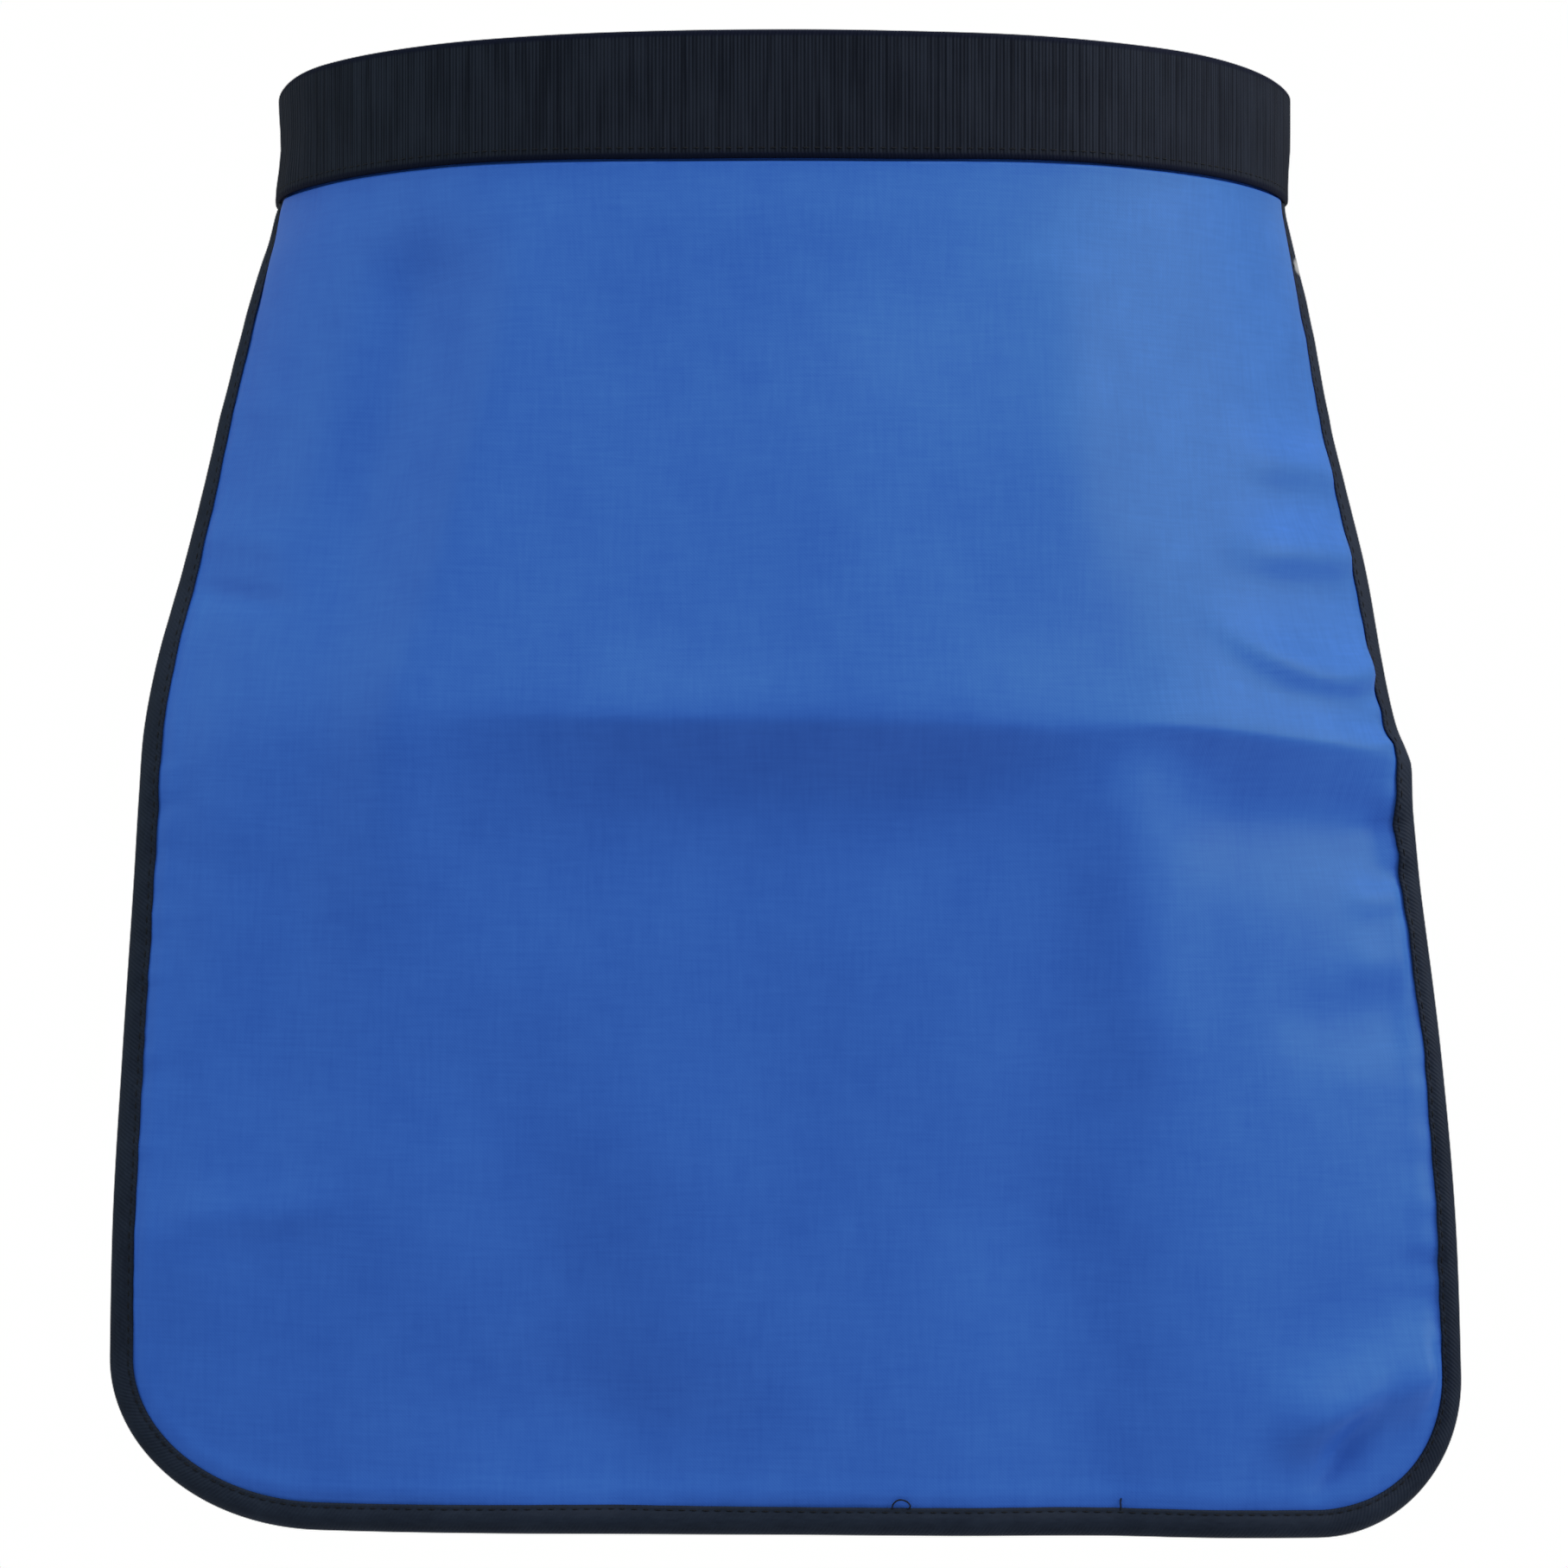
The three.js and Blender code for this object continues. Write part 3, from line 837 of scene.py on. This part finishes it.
def make_stitch():
    """One stitch of thread, lying along X with its ends drawn down into the cloth."""
    bpy.ops.object.select_all(action="DESELECT")
    bpy.ops.mesh.primitive_uv_sphere_add(segments=6, ring_count=6, radius=1.0)
    obj = bpy.context.object
    bpy.ops.object.mode_set(mode="EDIT")
    bpy.ops.mesh.select_all(action="SELECT")
    size = (STITCH_HALF * MM, STITCH_RADIUS * MM, STITCH_RADIUS * MM)
    bpy.ops.transform.rotate(value=math.pi / 2, orient_axis="Y", center_override=(0, 0, 0))
    bpy.ops.transform.resize(value=size, center_override=(0, 0, 0))
    bpy.ops.object.mode_set(mode="OBJECT")
    for v in obj.data.vertices:
        v.co.z -= STITCH_SINK * MM * (v.co.x / (STITCH_HALF * MM)) ** 2
    return obj


def sew(name, stitch, points, ahead, out):
    """Copies of the stitch at these places, along ahead and facing out, as one piece."""
    row = []
    for point, along, up in zip(points, unit(ahead), unit(out)):
        aside = np.cross(up, along)
        turn = Matrix(np.stack([along, unit(aside), up], axis=1).tolist()).to_4x4()
        copy = stitch.copy()
        copy.data = stitch.data.copy()
        copy.data.transform(Matrix.Translation(Vector(point) * MM) @ turn)
        bpy.context.scene.collection.objects.link(copy)
        row.append(copy)
    activate(row[0])
    for copy in row:
        copy.select_set(True)
    bpy.ops.object.join()
    obj = bpy.context.object
    obj.name = obj.data.name = name
    return finish_piece(obj, THREAD)


def sew_binding(stitch, name, inset, height):
    """A row of stitches along the tape, in the groove beside its inner edge."""
    path, way = bound_edge()
    stops = np.arange(TAPE_PITCH, way[-1] - TAPE_PITCH / 2, TAPE_PITCH)
    places = np.stack([np.interp(stops, way, column) for column in path.T], axis=1)
    depth = tape_inset(places, np.full((len(places), 1), inset))[:, 0]
    across = places[:, 0] + places[:, 2] * depth
    drop = places[:, 1] + places[:, 3] * depth
    out = facing(folded, across, drop)
    points = folded(across, drop) + out * height
    ahead = np.gradient(points, axis=0)
    return sew(name, stitch, points, ahead, out * np.sign(height))


def sew_band(stitch):
    """The row of stitches that holds the panel under the elastic, above its lower edge."""
    end, above = BAND_SEWN
    way = np.arange(-end, end + 0.1, BAND_PITCH)
    height = -BAND_HEIGHT / 2 + above + band_lift(way)
    off = GAP + BAND_THICK + band_stand(way, height)
    (x, y), (x2, y2) = waist(way, off), waist(way, off + 1)
    points = np.stack([x, y, height], axis=1)
    out = np.stack([x2 - x, y2 - y, np.zeros_like(x)], axis=1)
    sew("band_stitches", stitch, points, np.gradient(points, axis=0), out)


# Bits of sewing thread at the hem: flat places, and heights off the panel's face.
THREAD_LOOP = [
    (32.4, 433.2, 0.6), (32.9, 431.3, 0.9), (34.6, 430.1, 1.1),
    (36.8, 430.5, 1.1), (38.0, 432.0, 0.9), (36.9, 433.3, 0.6),
]
THREAD_END = [
    (102.3, 433.4, 0.7), (102.5, 432.2, 0.9), (102.4, 431.0, 0.8), (102.7, 429.8, 0.5),
]


def loose_thread(name, knots):
    """A bit of sewing thread along a smooth curve through these knots."""
    knots = np.array(knots)
    slopes = np.gradient(knots, axis=0)
    fine = np.linspace(0, 1, 25) * (len(knots) - 1)
    k = np.minimum(fine.astype(int), len(knots) - 2)
    line = hermite((fine - k)[:, None], knots[k], slopes[k], knots[k + 1], slopes[k + 1])
    across, drop, height = line.T
    middle = folded(across, drop) + facing(folded, across, drop) * height[:, None]
    ahead = unit(np.gradient(middle, axis=0))
    aside = unit(np.cross(ahead, np.array([0.3, -1.0, 0.2])))
    up = np.cross(aside, ahead)
    turn = np.linspace(0, 2 * math.pi, THREAD_SIDES + 1)[:-1, None]
    ring = np.cos(turn) * aside[:, None] + np.sin(turn) * up[:, None]
    round_way = np.linspace(0, 2 * math.pi * THREAD_RADIUS, THREAD_SIDES + 1)
    uv = np.stack(np.meshgrid(way_along(middle), round_way, indexing="ij"), axis=-1)
    obj = sleeve(name, middle[:, None] + THREAD_RADIUS * ring, uv)
    return finish_piece(obj, THREAD)


panel = make_panel()
binding = make_binding()
make_band()
make_patch()

stitch = make_stitch()
groove, sunk = TAPE_GROOVE
on_panel = [
    sew_binding(stitch, "binding_stitches_front", groove, sunk + 0.12),
    sew_binding(stitch, "binding_stitches_back", groove, -PANEL_THICK - 0.98),
    loose_thread("thread_loop", THREAD_LOOP),
    loose_thread("thread_end", THREAD_END),
]
sew_band(stitch)
bpy.data.objects.remove(stitch)


CAMERA_BACK = 1.339
CAMERA_HEIGHT = -0.214
LIGHT_AWAY = 2.0
LIGHT_AIM = Vector((0.0, -0.1, -0.22))
WHITE = (1.0, 1.0, 1.0)
SKY_STRENGTH = 0.44
BACKDROP_STRENGTH = 1.0
FLOOR_DEPTH = -1.05
FLOOR_RADIUS = 1.4

camera_data = bpy.data.cameras.new("camera")
camera_data.lens = 90.0
camera_data.sensor_width = 36.0
camera = bpy.data.objects.new("camera", camera_data)
camera.location = (0.0, -CAMERA_BACK, CAMERA_HEIGHT)
camera.rotation_euler = (math.pi / 2, 0.0, 0.0)
bpy.context.scene.collection.objects.link(camera)
bpy.context.scene.camera = camera


def softbox(name, azimuth, height, size, power, colour):
    """A soft light aimed at the apron, by degrees round from its front and up."""
    a, e = math.radians(azimuth), math.radians(height)
    away = Vector((math.sin(a) * math.cos(e), -math.cos(a) * math.cos(e), math.sin(e)))
    lamp = bpy.data.lights.new(name, "AREA")
    lamp.shape = "RECTANGLE"
    lamp.size, lamp.size_y = size
    lamp.energy = power
    lamp.color = colour
    obj = bpy.data.objects.new(name, lamp)
    obj.location = LIGHT_AIM + LIGHT_AWAY * away
    obj.rotation_euler = (-away).to_track_quat("-Z", "Y").to_euler()
    bpy.context.scene.collection.objects.link(obj)


softbox("right_softbox", 74, 30, (1.3, 1.6), 34.0, WHITE)
softbox("left_softbox", -75, 22, (1.2, 1.2), 10.0, (0.74, 1.0, 1.0))
softbox("top_softbox", 4, 74, (1.0, 1.0), 25.0, WHITE)

world = bpy.data.worlds.new("studio")
bpy.context.scene.world = world
world.use_nodes = True
nodes, links = world.node_tree.nodes, world.node_tree.links
sky, backdrop = nodes["Background"], nodes.new("ShaderNodeBackground")
for light, strength in ((sky, SKY_STRENGTH), (backdrop, BACKDROP_STRENGTH)):
    light.inputs["Color"].default_value = rgb(*WHITE)
    light.inputs["Strength"].default_value = strength
rays = nodes.new("ShaderNodeLightPath")
choose = nodes.new("ShaderNodeMixShader")
links.new(rays.outputs["Is Camera Ray"], choose.inputs[0])
links.new(sky.outputs[0], choose.inputs[1])
links.new(backdrop.outputs[0], choose.inputs[2])
links.new(choose.outputs[0], nodes["World Output"].inputs["Surface"])

bpy.ops.object.select_all(action="DESELECT")
bpy.ops.mesh.primitive_circle_add(vertices=96, radius=FLOOR_RADIUS, fill_type="NGON",
                                  location=(0, 0, FLOOR_DEPTH))
floor = bpy.context.object
floor.name = "floor"
floor_paint = Finish("floor_paint")
grain = floor_paint.noise(floor_paint.add("ShaderNodeTexCoord").out("Object"), EVEN, 3.0)
grey = floor_paint.mix(grain, rgb(0.8, 0.8, 0.8), rgb(0.86, 0.86, 0.86))
floor_paint.set(Base_Color=grey, Roughness=0.7)
floor.data.materials.append(floor_paint.material)

view = bpy.context.scene.view_settings
view.view_transform = "Standard"
view.look = "None"
# The camera's tone curve between black and white: straight in the shadows, with a
# soft shoulder.
TONE_CURVE = [
    (0.12, 0.12), (0.22, 0.222), (0.3, 0.303), (0.38, 0.368),
    (0.46, 0.418), (0.56, 0.46), (0.7, 0.517),
]
view.use_curve_mapping = True
tones = view.curve_mapping.curves[3]
for place in TONE_CURVE:
    tones.points.new(*place)
view.curve_mapping.update()

bpy.context.view_layer.update()
